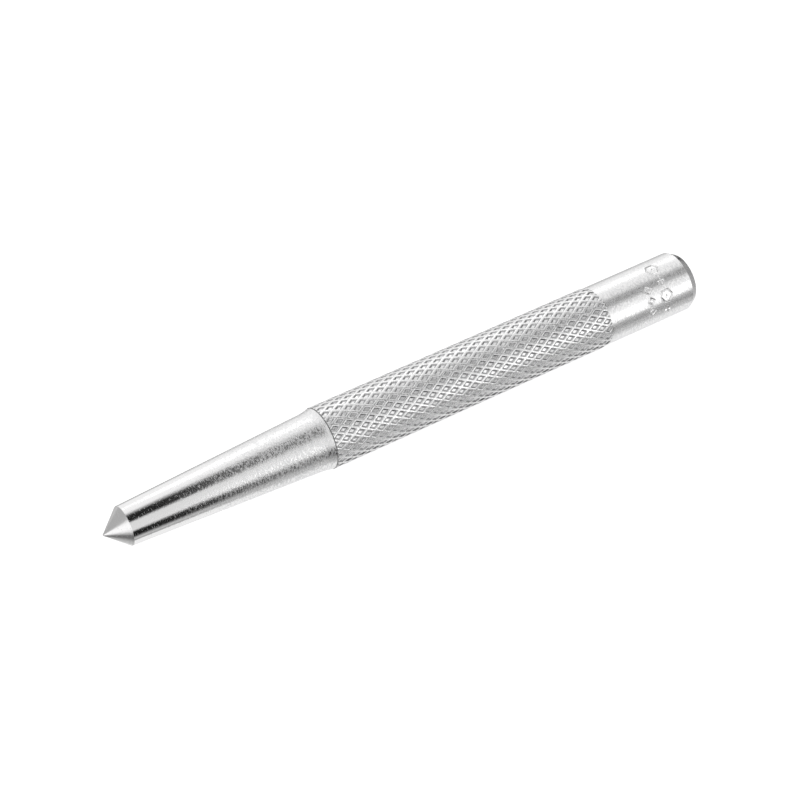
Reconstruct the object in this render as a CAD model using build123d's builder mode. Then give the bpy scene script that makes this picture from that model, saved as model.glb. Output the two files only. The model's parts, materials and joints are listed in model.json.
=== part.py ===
from build123d import *
import math
import os

os.makedirs("parts", exist_ok=True)

# A one-piece center punch, turned from one round steel bar. Millimetres.
# It lies along +X with the tip of its point at the origin, the head towards +X and +Z up.

# Driving dimensions
overall_length = 102.0
point_angle = 83.0
nose_radius = 0.15
point_base_radius = 3.07
taper_half_angle = 2.67
flare_length = 2.0
flare_end_radius = 4.80
knurl_start = 36.0
knurl_end = 85.4
knurl_radius = 4.875
knurl_runout = 0.8
head_radius = 4.75
head_chamfer_length = 1.2
head_chamfer_angle = 30.0
face_edge_radius = 0.15

# Diamond knurl with raised crests. Pits lie between two opposite helices of crests.
knurl_starts = 22
knurl_axial_pitch = 2.34
knurl_turn = 10.9
first_pit_before_knurl = 0.44
crest_share = 0.28
pit_depth = 0.25
pit_wall_angle = 45.0

# Ground point: a rounded nose, then a straight cone up to the taper
half_point = math.radians(point_angle / 2)
nose_end_x = nose_radius * (1 - math.sin(half_point))
nose_end_r = nose_radius * math.cos(half_point)
nose_mid_turn = (math.pi / 2 - half_point) / 2
nose_mid_x = nose_radius * (1 - math.cos(nose_mid_turn))
nose_mid_r = nose_radius * math.sin(nose_mid_turn)
point_base_x = nose_end_x + (point_base_radius - nose_end_r) / math.tan(half_point)

# Tapered shank, which ends in a short concave flare up to the knurl's shoulder
taper = math.radians(taper_half_angle)
taper_direction = (math.cos(taper), math.sin(taper))
flare_start_x = knurl_start - flare_length
flare_start_r = point_base_radius + (flare_start_x - point_base_x) * math.tan(taper)

# Head, with a chamfer round the struck face
chamfer_start_x = overall_length - head_chamfer_length
face_radius = head_radius - head_chamfer_length * math.tan(math.radians(head_chamfer_angle))

# Knurl cells: rhombs whose long diagonal lies along the bar
cell_width = 2 * math.pi * knurl_radius / knurl_starts
crest_turn = math.atan(cell_width / knurl_axial_pitch)
normal_pitch = cell_width * math.cos(crest_turn)
groove_width = (1 - crest_share) * normal_pitch
pit_clearance = 0.1


def groove_outline():
    """Section of the groove between two neighbouring crests: a flat floor and sloping walls."""
    wall_run = 1 / math.tan(math.radians(pit_wall_angle))
    floor_half = groove_width / 2 - pit_depth * wall_run
    top_half = groove_width / 2 + pit_clearance * wall_run
    floor_height = knurl_radius - pit_depth
    top_height = knurl_radius + pit_clearance
    return [
        (-floor_half, floor_height),
        (floor_half, floor_height),
        (top_half, top_height),
        (-top_half, top_height),
    ]


def groove_plane(turn):
    """Plane across a groove that crosses the bar's direction at an angle, with its Y outwards."""
    along = (math.cos(turn), math.sin(turn), 0)
    across = (-math.sin(turn), math.cos(turn), 0)
    return Plane(origin=(0, 0, 0), x_dir=across, z_dir=along)


def pit_places():
    """Every pit of the knurl, as a turn about the bar and a shift along it."""
    places = []
    row_step = knurl_axial_pitch / 2
    first_x = knurl_start - first_pit_before_knurl
    rows = int((knurl_end - first_x) / row_step) + 2
    for row in range(rows):
        for start in range(knurl_starts):
            turn = knurl_turn + 360 * (start + row / 2) / knurl_starts
            places.append(Location((first_x + row * row_step, 0, 0), (turn, 0, 0)))
    return places


# One pit is the space that two crossing grooves share
with BuildPart() as pit:
    with BuildSketch(groove_plane(crest_turn)):
        Polygon(*groove_outline(), align=None)
    extrude(amount=knurl_axial_pitch, both=True)
    with BuildSketch(groove_plane(-crest_turn)):
        Polygon(*groove_outline(), align=None)
    extrude(amount=knurl_axial_pitch, both=True, mode=Mode.INTERSECT)

with BuildPart() as punch_body:
    # The knurled grip, whose crests run out to the head's diameter
    with BuildSketch(Plane.XZ):
        Polygon(
            (knurl_start, 0),
            (knurl_start, knurl_radius),
            (knurl_end - knurl_runout, knurl_radius),
            (knurl_end, head_radius),
            (knurl_end, 0),
            align=None,
        )
    revolve(axis=Axis.X)
    with Locations(*pit_places()):
        add(pit.part, mode=Mode.SUBTRACT)
    # The point, the taper and the flare, which close the pits at the knurl's shoulder
    with BuildSketch(Plane.XZ):
        with BuildLine():
            ThreePointArc((0, 0), (nose_mid_x, nose_mid_r), (nose_end_x, nose_end_r))
            Line((nose_end_x, nose_end_r), (point_base_x, point_base_radius))
            Line((point_base_x, point_base_radius), (flare_start_x, flare_start_r))
            TangentArc(
                (flare_start_x, flare_start_r),
                (knurl_start, flare_end_radius),
                tangent=taper_direction,
            )
            Polyline((knurl_start, flare_end_radius), (knurl_start, 0), (0, 0))
        make_face()
    revolve(axis=Axis.X)
    # The head, which closes the pits at the knurl's other end
    with BuildSketch(Plane.XZ) as head_section:
        Polygon(
            (knurl_end, 0),
            (knurl_end, head_radius),
            (chamfer_start_x, head_radius),
            (overall_length, face_radius),
            (overall_length, 0),
            align=None,
        )
        face_corner = head_section.vertices().group_by(Axis.X)[-1].sort_by(Axis.Y)[-1]
        fillet(face_corner, radius=face_edge_radius)
    revolve(axis=Axis.X)

punch_body.part.label = "punch_body"
export_step(punch_body.part, "parts/punch_body.step", write_pcurves=False)
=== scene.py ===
import json
import math

import bmesh
import bpy
import numpy as np
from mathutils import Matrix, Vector, noise


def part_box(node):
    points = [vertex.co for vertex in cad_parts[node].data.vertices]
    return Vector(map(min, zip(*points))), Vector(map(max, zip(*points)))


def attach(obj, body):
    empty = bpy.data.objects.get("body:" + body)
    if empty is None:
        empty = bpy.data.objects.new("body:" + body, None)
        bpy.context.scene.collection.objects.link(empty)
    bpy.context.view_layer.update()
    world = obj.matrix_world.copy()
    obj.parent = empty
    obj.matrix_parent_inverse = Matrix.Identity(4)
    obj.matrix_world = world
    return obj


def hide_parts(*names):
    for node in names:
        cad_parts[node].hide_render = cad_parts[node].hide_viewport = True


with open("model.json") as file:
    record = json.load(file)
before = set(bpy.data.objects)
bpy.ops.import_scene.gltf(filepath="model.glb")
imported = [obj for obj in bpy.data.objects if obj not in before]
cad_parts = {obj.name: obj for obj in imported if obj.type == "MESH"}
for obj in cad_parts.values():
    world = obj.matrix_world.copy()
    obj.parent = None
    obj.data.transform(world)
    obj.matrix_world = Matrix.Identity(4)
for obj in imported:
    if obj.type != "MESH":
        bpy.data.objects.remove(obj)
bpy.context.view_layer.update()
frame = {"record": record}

MM = 0.001

# What the frame gives: the whole bar's box, and the plain head with its length and radius
LOW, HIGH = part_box("punch_body")
MOUNTS = {mount["name"]: mount for mount in frame["record"]["mounts"]}
HEAD = MOUNTS["head"]
TOOL_LENGTH = HIGH.x
KNURL_RADIUS = HIGH.z
HEAD_RADIUS = HEAD["dims"]["r_mm"] * MM
HEAD_LENGTH = HEAD["dims"]["length_mm"] * MM
KNURL_END = HEAD["pos_m"][0] - HEAD_LENGTH / 2
CHAMFER_START = KNURL_END + HEAD_LENGTH

# Driving dimensions of the turned shape, the same as the CAD part's
POINT_ANGLE = math.radians(83)
NOSE_RADIUS = 0.15 * MM
POINT_BASE_RADIUS = 3.07 * MM
TAPER = math.radians(2.67)
FLARE_LENGTH = 2.0 * MM
FLARE_END_RADIUS = 4.80 * MM
KNURL_START = 36.0 * MM
KNURL_RUNOUT = 0.8 * MM
CHAMFER_ANGLE = math.radians(30)
FACE_EDGE_RADIUS = 0.15 * MM

# Details that only this mesh has: a groove at the knurl's shoulder, and broken edges
SHOULDER_GROOVE_WIDTH = 0.12 * MM
SHOULDER_GROOVE_RADIUS = 4.70 * MM
EDGE_BREAK = 0.02 * MM

# How finely the turned shape is divided. Extra rings at EDGE_SUPPORT keep each edge crisp.
EDGE_SUPPORT = 0.03 * MM
NOSE_RINGS = 6
CONE_RINGS = 4
SHANK_RINGS = 14
FLARE_RINGS = 10
SHANK_COLUMNS = 180
WIDE_HEAD_COLUMNS = 70
FINE_STEP = 0.07 * MM
SHARP_EDGE = math.radians(28)

# Knurl: crests of two opposite helices round flat-floored pits. CELL_BREAKS are places across
# a cell, as shares of the pitch from the pit's middle, and CELL_DEPTHS how deep the pit is there.
KNURL_STARTS = 22
KNURL_PITCH = 2.34 * MM
KNURL_TURN = math.radians(10.9)
FIRST_PIT = KNURL_START - 0.44 * MM
PIT_DEPTH = 0.25 * MM
PIT_END_WALL = 0.12 * MM
CELL_BREAKS = [-0.44, -0.36, -0.30, -0.16, 0.16, 0.30, 0.36, 0.44]
CELL_DEPTHS = [0.0, 0.07, 0.26, 1.0, 1.0, 0.26, 0.07, 0.0]

# The whole knurl is slightly uneven, and never above its true surface
UNEVEN_DEPTH = 0.034 * MM
UNEVEN_SPACING = 0.26 * MM

# Stamped marks on the head: plain shapes in two rows round the bar. Turns are in degrees.
MARK_ROW_X = 95.95 * MM
MARK_SIZE = 1.05 * MM
MARK_TURNS = [2, 31, 60, 89]
SMALL_ROW_X = 93.1 * MM
SMALL_SIZE = 0.62 * MM
SMALL_TURNS = [38, 59, 80]
STROKE_HALF_WIDTH = 0.17 * MM
STROKE_DEPTH = 0.12 * MM
STROKE_LIP = 0.012 * MM
# The stretch of the head with the fine mesh that the marks need
MARKED_TURNS = (-16, 105)
MARKED_X = (91.9 * MM, 97.4 * MM)


def polar(x, radius, turn):
    """A point of the bar: turn is measured about +X, from +Z towards -Y."""
    return (x, -radius * math.sin(turn), radius * math.cos(turn))


def smooth_step(value):
    t = np.clip(value, 0, 1)
    return t * t * (3 - 2 * t)


# ---- The turned shape ----

def rounded_corner(before, corner, after, radius, steps=3):
    """Points of a small arc in place of a profile's corner."""
    a, b, c = (np.array(p) for p in (before, corner, after))
    to_a = (a - b) / np.linalg.norm(a - b)
    to_c = (c - b) / np.linalg.norm(c - b)
    half = math.acos(float(np.clip(to_a @ to_c, -1, 1))) / 2
    setback = radius / math.tan(half)
    start, end = b + to_a * setback, b + to_c * setback
    points = []
    for k in range(steps + 1):
        t = k / steps
        points.append(tuple((1 - t) ** 2 * start + 2 * t * (1 - t) * b + t * t * end))
    return points


def straight(start, end, count):
    """Evenly spaced points between two profile points, with one close to each end."""
    a, b = np.array(start), np.array(end)
    near = (b - a) / np.linalg.norm(b - a) * EDGE_SUPPORT
    between = np.linspace(a, b, count + 2)[1:-1]
    return [tuple(p) for p in [a + near, *between, b - near]]


def point_and_shank_profile():
    """(x, radius) from the tip to the floor of the groove at the knurl's shoulder."""
    half = POINT_ANGLE / 2
    nose = []
    for k in range(1, NOSE_RINGS + 1):
        turn = (math.pi / 2 - half) * k / NOSE_RINGS
        nose.append((NOSE_RADIUS * (1 - math.cos(turn)), NOSE_RADIUS * math.sin(turn)))
    nose_end = nose[-1]
    base_x = nose_end[0] + (POINT_BASE_RADIUS - nose_end[1]) / math.tan(half)
    base = (base_x, POINT_BASE_RADIUS)
    flare_x = KNURL_START - FLARE_LENGTH
    flare = (flare_x, POINT_BASE_RADIUS + (flare_x - base_x) * math.tan(TAPER))
    edge = rounded_corner(nose_end, base, flare, EDGE_BREAK)
    profile = nose + straight(nose_end, edge[0], CONE_RINGS) + edge
    profile += straight(edge[-1], flare, SHANK_RINGS) + [flare]
    rise = FLARE_END_RADIUS - flare[1] - FLARE_LENGTH * math.tan(TAPER)
    groove_start = KNURL_START - SHOULDER_GROOVE_WIDTH
    for along in np.linspace(0, groove_start - flare_x, FLARE_RINGS + 1)[1:]:
        t = along / FLARE_LENGTH
        profile.append((flare_x + along, flare[1] + along * math.tan(TAPER) + rise * t * t))
    profile.append((KNURL_START - SHOULDER_GROOVE_WIDTH / 2, SHOULDER_GROOVE_RADIUS))
    profile.append((KNURL_START - SHOULDER_GROOVE_WIDTH / 4, SHOULDER_GROOVE_RADIUS))
    return profile


def head_profile():
    """(x, radius) from the knurl's run-out to the rim of the struck face."""
    chamfer_length = TOOL_LENGTH - CHAMFER_START
    face_radius = HEAD_RADIUS - chamfer_length * math.tan(CHAMFER_ANGLE)
    start = (KNURL_END + FINE_STEP, HEAD_RADIUS)
    corner = (CHAMFER_START, HEAD_RADIUS)
    rim = (TOOL_LENGTH, face_radius)
    edge = rounded_corner(start, corner, rim, EDGE_BREAK)
    rim_edge = rounded_corner(corner, rim, (TOOL_LENGTH, 0), FACE_EDGE_RADIUS, steps=5)
    marked = [(MARKED_X[0], HEAD_RADIUS), (MARKED_X[1], HEAD_RADIUS)]
    fine_rings = round((MARKED_X[1] - MARKED_X[0]) / FINE_STEP)
    profile = [start] + straight(start, marked[0], 5) + [marked[0]]
    profile += straight(marked[0], marked[1], fine_rings) + [marked[1]]
    profile += straight(marked[1], edge[0], 4) + edge
    profile += straight(edge[-1], rim_edge[0], 3) + rim_edge
    return profile


def ring_turns():
    """Turns of the bar's columns: fine where the head is marked, wider elsewhere."""
    first, last = (math.radians(t) for t in MARKED_TURNS)
    fine_count = round((last - first) * HEAD_RADIUS / FINE_STEP)
    fine = np.linspace(first, last, fine_count, endpoint=False)
    wide = np.linspace(last, first + 2 * math.pi, WIDE_HEAD_COLUMNS, endpoint=False)
    return np.concatenate([fine, wide])


# ---- Stamped marks ----

def segment_distance(p, q, start, end):
    """Distance from points (p, q) to a straight stroke."""
    ax, ay = start
    dx, dy = end[0] - ax, end[1] - ay
    t = np.clip(((p - ax) * dx + (q - ay) * dy) / (dx * dx + dy * dy), 0, 1)
    return np.hypot(p - ax - t * dx, q - ay - t * dy)


def outline_distance(p, q, corners):
    """Distance from points (p, q) to a closed outline."""
    pairs = zip(corners, corners[1:] + corners[:1])
    return np.min([segment_distance(p, q, a, b) for a, b in pairs], axis=0)


def hexagon_and_dot(p, q, size):
    corners = []
    for k in range(6):
        turn = math.radians(60 * k)
        corners.append((size * math.cos(turn), size * math.sin(turn)))
    return np.minimum(outline_distance(p, q, corners), np.hypot(p, q))


def plus_sign(p, q, size):
    along = segment_distance(p, q, (-size * 0.45, 0), (size * 0.45, 0))
    across = segment_distance(p, q, (0, -size * 0.45), (0, size * 0.45))
    return np.minimum(along, across)


def diamond(p, q, size):
    corners = [(-size, 0), (0, -size * 0.8), (size, 0), (0, size * 0.8)]
    return outline_distance(p, q, corners)


def mark_depth(x, turn):
    """How far the stamped strokes sink the head's surface. Negative is the lip they raise."""
    distance = np.full(np.shape(turn), np.inf)
    for k, middle in enumerate(MARK_TURNS):
        across = (turn - math.radians(middle)) * HEAD_RADIUS
        shape = hexagon_and_dot if k % 2 == 0 else plus_sign
        distance = np.minimum(distance, shape(x - MARK_ROW_X, across, MARK_SIZE))
    for middle in SMALL_TURNS:
        across = (turn - math.radians(middle)) * HEAD_RADIUS
        distance = np.minimum(distance, diamond(x - SMALL_ROW_X, across, SMALL_SIZE))
    share = distance / STROKE_HALF_WIDTH
    sunk = STROKE_DEPTH * (1 - smooth_step(share))
    lip = STROKE_LIP * smooth_step((share - 0.8) / 0.4) * (1 - smooth_step((share - 1.3) / 0.9))
    return sunk - lip


# ---- Knurl ----

def crest_radius(x):
    """Radius of the crests, which run out to the head's radius at the knurl's far end."""
    runout = np.clip((x - (KNURL_END - KNURL_RUNOUT)) / KNURL_RUNOUT, 0, 1)
    return KNURL_RADIUS + (HEAD_RADIUS - KNURL_RADIUS) * runout


def knurl_radius_at(x, turn):
    """Radius of the knurl. Pits are cut off at the shoulder and end in a wall at the head."""
    along = (x - FIRST_PIT) / KNURL_PITCH
    around = KNURL_STARTS * (turn - KNURL_TURN) / (2 * math.pi)
    depths = []
    for phase in (along + around, along - around):
        offset = phase - np.round(phase)
        depths.append(np.interp(offset, CELL_BREAKS, CELL_DEPTHS))
    depth = PIT_DEPTH * np.minimum(depths[0], depths[1])
    return crest_radius(x) - depth * smooth_step((KNURL_END - x) / PIT_END_WALL)


def lattice_vertex(bm, made, a, b):
    """The vertex at whole steps a and b along the two crest directions, made once."""
    steps = len(CELL_BREAKS)
    lap = KNURL_STARTS * steps
    laps = (a - b) // (2 * lap)
    key = (a - laps * lap, b + laps * lap)
    if key not in made:
        phases = []
        for k in key:
            cell, step = divmod(k, steps)
            phases.append(cell + CELL_BREAKS[step])
        x = FIRST_PIT + KNURL_PITCH * (phases[0] + phases[1]) / 2
        turn = KNURL_TURN + math.pi * (phases[0] - phases[1]) / KNURL_STARTS
        made[key] = bm.verts.new(polar(x, KNURL_RADIUS, turn))
    return made[key]


def add_cell(bm, made, i, j):
    """One rhomb of the knurl, with its diagonal creases along triangle edges."""
    steps = len(CELL_BREAKS)
    for u in range(steps):
        for v in range(steps):
            a, b = i * steps + u, j * steps + v
            corners = [
                lattice_vertex(bm, made, a, b),
                lattice_vertex(bm, made, a, b + 1),
                lattice_vertex(bm, made, a + 1, b + 1),
                lattice_vertex(bm, made, a + 1, b),
            ]
            if u + v == steps - 2:
                bm.faces.new([corners[0], corners[1], corners[3]])
                bm.faces.new([corners[1], corners[2], corners[3]])
            else:
                bm.faces.new([corners[0], corners[1], corners[2]])
                bm.faces.new([corners[0], corners[2], corners[3]])


def trim_at(bm, x, keep_after):
    """Cut the mesh by a plane across the bar.

    keep_after says what stays: True for the head's side, False for the tip's, None for both.
    """
    bmesh.ops.bisect_plane(
        bm,
        geom=bm.verts[:] + bm.edges[:] + bm.faces[:],
        dist=1e-9,
        plane_co=(x, 0, 0),
        plane_no=(1, 0, 0),
        clear_inner=keep_after is True,
        clear_outer=keep_after is False,
    )


def make_knurl(bm):
    """The knurled band as an open tube. Returns its two end loops."""
    made = {}
    first = math.floor(2 * (KNURL_START - FIRST_PIT) / KNURL_PITCH) - 1
    last = math.ceil(2 * (KNURL_END - FIRST_PIT) / KNURL_PITCH) + 1
    for total in range(first, last + 1):
        for difference in range(total % 2, 2 * KNURL_STARTS, 2):
            add_cell(bm, made, (total + difference) // 2, (total - difference) // 2)
    trim_at(bm, KNURL_START, keep_after=True)
    trim_at(bm, KNURL_END, keep_after=False)
    for x in (KNURL_END - PIT_END_WALL, KNURL_END - KNURL_RUNOUT):
        trim_at(bm, x, keep_after=None)
    for vert in bm.verts:
        turn = math.atan2(-vert.co.y, vert.co.z)
        x = min(max(vert.co.x, KNURL_START), KNURL_END)
        uneven = UNEVEN_DEPTH * (1 + noise.noise(vert.co / UNEVEN_SPACING)) / 2
        vert.co = polar(x, float(knurl_radius_at(x, turn)) - uneven, turn)
    near = [v for v in bm.verts if abs(v.co.x - KNURL_START) < 1e-7]
    far = [v for v in bm.verts if abs(v.co.x - KNURL_END) < 1e-7]
    return near, far


# ---- The whole bar as one closed mesh ----

def turn_of(vert):
    return math.atan2(-vert.co.y, vert.co.z) % (2 * math.pi)


def bridge(bm, left, right):
    """Triangles between two closed loops of vertices, by their turns about the bar."""
    left = sorted(left, key=turn_of)
    right = sorted(right, key=turn_of)
    lap = 2 * math.pi
    a, b = 0, 0
    while a < len(left) or b < len(right):
        next_left = turn_of(left[(a + 1) % len(left)]) + lap * ((a + 1) // len(left))
        next_right = turn_of(right[(b + 1) % len(right)]) + lap * ((b + 1) // len(right))
        here = (left[a % len(left)], right[b % len(right)])
        if b == len(right) or (a < len(left) and next_left <= next_right):
            bm.faces.new([here[0], left[(a + 1) % len(left)], here[1]])
            a += 1
        else:
            bm.faces.new([here[0], right[(b + 1) % len(right)], here[1]])
            b += 1


def add_ring(bm, x, radius, turns, marked=False):
    depth = mark_depth(x, turns) if marked else np.zeros(len(turns))
    return [bm.verts.new(polar(x, radius - d, t)) for d, t in zip(depth, turns)]


def join_rings(bm, left, right):
    for k in range(len(left)):
        after = (k + 1) % len(left)
        bm.faces.new([left[k], left[after], right[after], right[k]])


def close_end(bm, ring, x, facing_back):
    tip = bm.verts.new((x, 0, 0))
    for k in range(len(ring)):
        after = (k + 1) % len(ring)
        pair = [ring[after], ring[k]] if facing_back else [ring[k], ring[after]]
        bm.faces.new(pair + [tip])


def make_bar():
    """The punch: ground point, taper, flare, knurl, marked head and chamfered end."""
    bm = bmesh.new()
    near, far = make_knurl(bm)
    even_turns = np.linspace(0, 2 * math.pi, SHANK_COLUMNS, endpoint=False)
    shank = [add_ring(bm, x, r, even_turns) for x, r in point_and_shank_profile()]
    turns = ring_turns()
    head = []
    for x, r in head_profile():
        marked = MARKED_X[0] <= x <= MARKED_X[1]
        head.append(add_ring(bm, x, r, turns, marked))
    for rings in (shank, head):
        for left, right in zip(rings, rings[1:]):
            join_rings(bm, left, right)
    bridge(bm, shank[-1], near)
    bridge(bm, far, head[0])
    close_end(bm, shank[0], 0.0, facing_back=True)
    close_end(bm, head[-1], TOOL_LENGTH, facing_back=False)
    bmesh.ops.remove_doubles(bm, verts=bm.verts[:], dist=1e-8)
    bmesh.ops.recalc_face_normals(bm, faces=bm.faces[:])
    mesh = bpy.data.meshes.new("punch")
    bm.to_mesh(mesh)
    bm.free()
    mesh.shade_smooth()
    mesh.set_sharp_from_angle(angle=SHARP_EDGE)
    bar = bpy.data.objects.new("punch", mesh)
    bpy.context.scene.collection.objects.link(bar)
    return bar


# ---- Material ----

class Nodes:
    """Short calls for building a node tree."""

    def __init__(self, tree):
        self.tree = tree
        tree.nodes.clear()

    def add(self, kind, inputs=None, **settings):
        node = self.tree.nodes.new(kind)
        for name, value in settings.items():
            setattr(node, name, value)
        for name, value in (inputs or {}).items():
            self.plug(node.inputs[name], value)
        return node

    def plug(self, socket, value):
        if isinstance(value, bpy.types.NodeSocket):
            self.tree.links.new(value, socket)
        else:
            socket.default_value = value

    def math(self, operation, *values):
        node = self.add("ShaderNodeMath", operation=operation)
        for socket, value in zip(node.inputs, values):
            self.plug(socket, value)
        return node.outputs[0]

    def spread(self, value, low, high, to_low=0.0, to_high=1.0, smooth=True):
        """Map low..high to to_low..to_high, held at both ends."""
        kind = "SMOOTHSTEP" if smooth else "LINEAR"
        node = self.add("ShaderNodeMapRange", interpolation_type=kind)
        values = (value, low, high, to_low, to_high)
        for name, v in zip(("Value", "From Min", "From Max", "To Min", "To Max"), values):
            self.plug(node.inputs[name], v)
        return node.outputs["Result"]

    def mix_numbers(self, share, first, second):
        """first where share is 0 and second where it is 1."""
        difference = self.math("SUBTRACT", second, first)
        return self.math("ADD", first, self.math("MULTIPLY", share, difference))

    def mix_colors(self, share, first, second):
        node = self.add("ShaderNodeMix", data_type="RGBA")
        self.plug(node.inputs[0], share)
        self.plug(node.inputs[6], first)
        self.plug(node.inputs[7], second)
        return node.outputs[2]

    def noise(self, vector, scale, detail=2.0, roughness=0.5):
        settings = {"Vector": vector, "Scale": scale, "Detail": detail, "Roughness": roughness}
        return self.add("ShaderNodeTexNoise", settings).outputs["Fac"]


def inside(n, value, middle, half_width, soft):
    """1 within half_width of the middle, falling to 0 across a soft edge."""
    distance = n.math("ABSOLUTE", n.math("SUBTRACT", value, middle))
    return n.spread(distance, half_width - soft / 2, half_width + soft / 2, 1.0, 0.0)


# Where the finish changes along the bar, in mm from the tip
POINT_END = 3.4
RELIEF_RISES = (4.0, 26.0)
RELIEF_FALLS = (84.0, 87.0)
POLISH_FADES = (4.0, 28.0)
HAZE_SPREADS = (4.0, 30.0)
HAZE_SOFTENS = (24.0, 90.0)

# Depths below the knurl's crests, in mm, between which the painted shade on a pit's wall fades in
# and out
WALL_BEGINS = (0.05, 0.09)
WALL_ENDS = (0.20, 0.235)

POLISHED_PLATE = (0.95, 0.945, 0.945, 1)
HAZY_PLATE = (0.88, 0.88, 0.885, 1)
# Painted shade: a darker colour standing in for the shade on the pits' walls
PIT_WALL_PAINTED_SHADE = (0.44, 0.44, 0.445, 1)
# Painted shade: a darker colour standing in for the shade in the groove at the knurl's shoulder
SHOULDER_GROOVE_PAINTED_SHADE = (0.45, 0.45, 0.45, 1)


def plated_steel():
    """Satin bright plate with fine lathe lines and a ground point, with painted shade darkening
    the pits' walls and the groove at the knurl's shoulder.
    """
    material = bpy.data.materials.new("plated_steel")
    material.use_nodes = True
    n = Nodes(material.node_tree)
    place = n.add("ShaderNodeTexCoord").outputs["Object"]
    in_mm = n.add("ShaderNodeVectorMath", {0: place, 1: (1000, 1000, 1000)}, operation="MULTIPLY")
    split = n.add("ShaderNodeSeparateXYZ", {0: in_mm.outputs[0]})
    x, y, z = split.outputs
    radius = n.math("SQRT", n.math("ADD", n.math("MULTIPLY", y, y), n.math("MULTIPLY", z, z)))
    lathe = n.add("ShaderNodeCombineXYZ", {0: x, 1: radius, 2: n.math("MULTIPLY", y, 0.06)})
    lathe_lines = n.noise(lathe.outputs[0], 7.0, 2.0, 0.6)
    stretch = {0: in_mm.outputs[0], 1: (1.0, 0.35, 0.35)}
    round_bar = n.add("ShaderNodeVectorMath", stretch, operation="MULTIPLY")
    streaks = n.noise(round_bar.outputs[0], 6.0, 2.0, 0.6)
    mottle = n.noise(in_mm.outputs[0], 3.2, 3.0, 0.6)
    grain = n.noise(in_mm.outputs[0], 6.0, 2.0, 0.6)

    knurl_middle = (KNURL_START + KNURL_END) / 2 / MM
    knurl_half = (KNURL_END - KNURL_START) / 2 / MM
    on_knurl = inside(n, x, knurl_middle, knurl_half, 0.1)
    off_knurl = n.math("SUBTRACT", 1.0, on_knurl)
    line_height = n.math("MULTIPLY", lathe_lines, n.math("MULTIPLY", off_knurl, 0.5))
    height = n.math("ADD", mottle, line_height)
    rising = n.spread(x, *RELIEF_RISES, 0.35, 1.0)
    falling = n.spread(x, *RELIEF_FALLS, 1.0, 0.6)
    relief = n.math("MINIMUM", rising, falling)
    bump = n.add("ShaderNodeBump", {"Height": height, "Strength": relief, "Distance": 0.025 * MM})

    speckle = n.mix_numbers(on_knurl, streaks, grain)
    haze_from = n.spread(x, *HAZE_SPREADS, 0.66, 0.50)
    haze = n.spread(n.math("SUBTRACT", speckle, haze_from), -0.02, 0.02)
    polish = n.spread(x, *POLISH_FADES, 0.12, 0.22)
    haze_share = n.spread(x, *HAZE_SOFTENS, 0.22, 0.14)
    roughness = n.math("ADD", polish, n.math("MULTIPLY", haze, haze_share))
    on_point = n.math("LESS_THAN", x, POINT_END)
    roughness = n.math("ADD", roughness, n.math("MULTIPLY", on_point, 0.10))

    runout = ((KNURL_END - KNURL_RUNOUT) / MM, KNURL_END / MM)
    crest = n.spread(x, *runout, KNURL_RADIUS / MM, HEAD_RADIUS / MM, smooth=False)
    depth = n.math("SUBTRACT", crest, radius)
    below_crest = n.spread(depth, *WALL_BEGINS)
    above_floor = n.spread(depth, *WALL_ENDS, 1.0, 0.0)
    # Painted shade: the pits' walls get a darker colour between these depths below the crests
    painted_wall_shade = n.math("MULTIPLY", on_knurl, n.math("MULTIPLY", below_crest, above_floor))
    plate = n.mix_colors(haze, POLISHED_PLATE, HAZY_PLATE)
    plate = n.mix_colors(painted_wall_shade, plate, PIT_WALL_PAINTED_SHADE)
    # Painted shade: a darker colour in the groove at the knurl's shoulder and on the pits' ends
    # beside it
    groove_middle = (KNURL_START - SHOULDER_GROOVE_WIDTH / 2) / MM
    painted_groove_shade = inside(n, x, groove_middle + 0.02, 0.07, 0.05)
    color = n.mix_colors(painted_groove_shade, plate, SHOULDER_GROOVE_PAINTED_SHADE)
    surface = n.add(
        "ShaderNodeBsdfPrincipled",
        {"Base Color": color, "Metallic": 1.0, "Roughness": roughness, "Normal": bump.outputs[0]},
    )
    n.add("ShaderNodeOutputMaterial", {"Surface": surface.outputs[0]})
    return material


def pale_floor():
    """A white sheet lit from below, like a light table, so the bar hardly shades it."""
    material = bpy.data.materials.new("floor_paper")
    material.use_nodes = True
    n = Nodes(material.node_tree)
    surface = n.add(
        "ShaderNodeBsdfPrincipled",
        {
            "Base Color": (0.90, 0.90, 0.90, 1),
            "Roughness": 0.6,
            "Emission Color": (1.0, 1.0, 1.0, 1),
            "Emission Strength": 0.86,
        },
    )
    n.add("ShaderNodeOutputMaterial", {"Surface": surface.outputs[0]})
    return material


# ---- Stage: floor, light and camera ----

BACKDROP_RADIUS = 1.4
FLOOR_HALF_WIDTH = 1.5
OVERHEAD_SIZE = 1.6
OVERHEAD_POWER = 5
OVERHEAD_PLACE = (TOOL_LENGTH / 2, 0.1, 0.9)


def make_backdrop():
    """A plain white dome over the floor, which only the camera sees."""
    dome = bpy.data.meshes.new("backdrop")
    bm = bmesh.new()
    bmesh.ops.create_uvsphere(bm, u_segments=48, v_segments=24, radius=BACKDROP_RADIUS)
    bmesh.ops.translate(bm, verts=bm.verts[:], vec=(TOOL_LENGTH / 2, 0, LOW.z))
    bm.to_mesh(dome)
    bm.free()
    material = bpy.data.materials.new("backdrop_white")
    material.use_nodes = True
    n = Nodes(material.node_tree)
    glow = n.add("ShaderNodeEmission", {"Color": (1.0, 1.0, 1.0, 1), "Strength": 1.0})
    n.add("ShaderNodeOutputMaterial", {"Surface": glow.outputs[0]})
    dome.materials.append(material)
    backdrop = bpy.data.objects.new("backdrop", dome)
    bpy.context.scene.collection.objects.link(backdrop)
    backdrop.visible_glossy = False
    backdrop.visible_diffuse = False
    backdrop.visible_shadow = False


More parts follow.
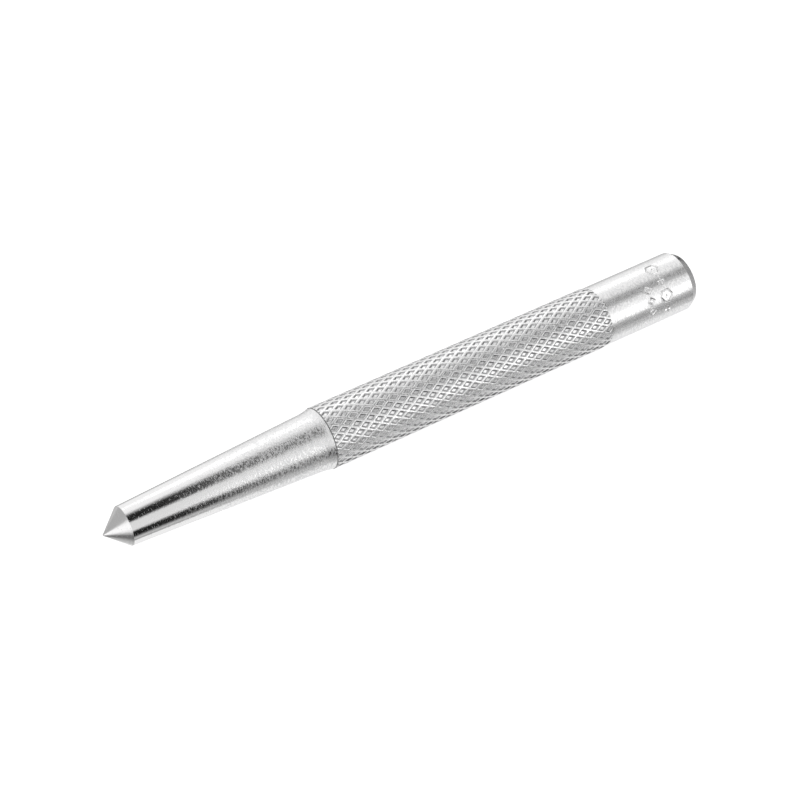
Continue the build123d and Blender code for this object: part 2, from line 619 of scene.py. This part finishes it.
def make_floor():
    """A wide pale sheet that the bar lies on."""
    half = FLOOR_HALF_WIDTH
    z = LOW.z
    mesh = bpy.data.meshes.new("floor")
    corners = [(-half, -half, z), (half, -half, z), (half, half, z), (-half, half, z)]
    mesh.from_pydata(corners, [], [(0, 1, 2, 3)])
    floor = bpy.data.objects.new("floor", mesh)
    bpy.context.scene.collection.objects.link(floor)
    mesh.materials.append(pale_floor())
    floor.visible_glossy = False


# Soft boxes. "round" is the angle from straight up towards -Y, in degrees, and "along" is how far
# a direction leans towards +X, from -1 to 1. Each is (middle, half width, width of the soft edge).
# They were set until the bar's bands of light and dark looked right from the camera.
SOFT_BOXES = [
    {"round": (-55, 47, 28), "along": (0.15, 0.50, 0.2), "light": 0.92},
    {"round": (-40, 44, 20), "along": (0.55, 0.21, 0.08), "light": 0.90},
    {"round": (-50, 16, 40), "along": (0.38, 0.15, 0.16), "light": 1.90},
    {"round": (-125, 45, 60), "along": (0.10, 0.60, 0.3), "light": 0.52},
    {"round": (62, 25, 14), "along": (0.05, 0.56, 0.1), "light": 0.72},
    {"round": (63, 32, 20), "along": (0.55, 0.225, 0.07), "light": 0.98},
    {"round": (78, 17, 22), "along": (0.55, 0.225, 0.07), "light": 1.75},
    {"round": (104, 17, 24), "along": (0.55, 0.225, 0.07), "light": 0.31},
    {"round": (61, 56, 54), "along": (-0.90, 0.40, 0.5), "light": 1.06},
    {"round": (134, 9, 26), "along": (0.10, 0.55, 0.2), "light": 0.60},
    {"round": (136, 16, 20), "along": (0.417, 0.045, 0.05), "light": 0.95},
    {"round": (9, 32, 20), "along": (-0.25, 0.26, 0.2), "light": 1.05},
    {"round": (71, 22, 20), "along": (-0.25, 0.22, 0.2), "light": 1.20},
    {"round": (14, 22, 16), "along": (0.417, 0.045, 0.05), "light": 0.62},
    {"round": (104, 22, 20), "along": (0.417, 0.045, 0.05), "light": 0.65},
    {"round": (32, 80, 34), "along": (0.76, 0.11, 0.1), "light": 0.58},
    {"round": (190, 43, 6), "along": (0.30, 0.50, 0.3), "light": 0.90},
    {"round": (190, 36, 24), "along": (0.95, 0.30, 0.2), "light": 0.52},
    {"round": (190, 32, 50), "along": (-0.90, 0.85, 0.6), "light": 0.55},
    {"round": (-50, 110, 90), "along": (-0.90, 0.80, 0.6), "light": 0.42},
    {"round": (180, 180, 20), "along": (-0.90, 0.50, 0.4), "light": 0.13},
    {"round": (180, 180, 20), "along": (0.55, 0.225, 0.07), "light": 0.19},
    {"round": (180, 180, 20), "along": (1.00, 0.14, 0.1), "light": 0.27},
    {"round": (-40, 34, 30), "along": (0.89, 0.08, 0.08), "light": 0.45},
]
DIM_LIGHT = 0.006


def studio_light():
    """Soft boxes round the bar over a dim surround. Where boxes meet, the brighter one shows."""
    world = bpy.data.worlds.new("studio")
    bpy.context.scene.world = world
    world.use_nodes = True
    n = Nodes(world.node_tree)
    direction = n.add("ShaderNodeTexCoord").outputs["Generated"]
    x, y, z = n.add("ShaderNodeSeparateXYZ", {0: direction}).outputs
    turn = n.math("DEGREES", n.math("ARCTAN2", n.math("MULTIPLY", y, -1.0), z))
    light = DIM_LIGHT
    for box in SOFT_BOXES:
        middle, half_width, soft = box["round"]
        nearest_turn = n.math("WRAP", turn, middle + 180.0, middle - 180.0)
        round_bar = inside(n, nearest_turn, middle, half_width, soft)
        along_bar = inside(n, x, *box["along"])
        share = n.math("MULTIPLY", round_bar, along_bar)
        light = n.math("MAXIMUM", light, n.math("MULTIPLY", share, box["light"]))
    background = n.add("ShaderNodeBackground", {"Color": light, "Strength": 1.0})
    n.add("ShaderNodeOutputWorld", {"Surface": background.outputs[0]})
    world.cycles_visibility.diffuse = False


def floor_light():
    """A broad overhead light that only the floor and matt surfaces show."""
    light = bpy.data.lights.new("overhead", "AREA")
    light.shape = "DISK"
    light.size = OVERHEAD_SIZE
    light.energy = OVERHEAD_POWER
    lamp = bpy.data.objects.new("overhead", light)
    lamp.location = OVERHEAD_PLACE
    lamp.visible_glossy = False
    bpy.context.scene.collection.objects.link(lamp)


CAMERA_AZIMUTH = math.radians(-33.07)
CAMERA_ELEVATION = math.radians(42.97)
CAMERA_DISTANCE = 378.35 * MM
CAMERA_LENS = 114.9
CAMERA_AIM_OFFSET = Vector((-0.86, 0.58, 0.03)) * MM


def make_camera():
    """A long lens, at the tool's near side and well above it, aimed close to its middle."""
    data = bpy.data.cameras.new("camera")
    data.sensor_width = 36
    data.lens = CAMERA_LENS
    data.clip_start = 0.01
    data.clip_end = 10
    camera = bpy.data.objects.new("camera", data)
    back = Vector((
        math.sin(CAMERA_AZIMUTH) * math.cos(CAMERA_ELEVATION),
        -math.cos(CAMERA_AZIMUTH) * math.cos(CAMERA_ELEVATION),
        math.sin(CAMERA_ELEVATION),
    ))
    aim = Vector((TOOL_LENGTH / 2, 0, 0)) + CAMERA_AIM_OFFSET
    camera.location = aim + back * CAMERA_DISTANCE
    camera.rotation_mode = "QUATERNION"
    camera.rotation_quaternion = (-back).to_track_quat("-Z", "Y")
    bpy.context.scene.collection.objects.link(camera)
    bpy.context.scene.camera = camera


make_camera()
make_floor()
make_backdrop()
studio_light()
floor_light()

punch = make_bar()
punch.data.materials.append(plated_steel())
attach(punch, "root")
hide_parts("punch_body")

bpy.context.scene.view_settings.view_transform = "Standard"
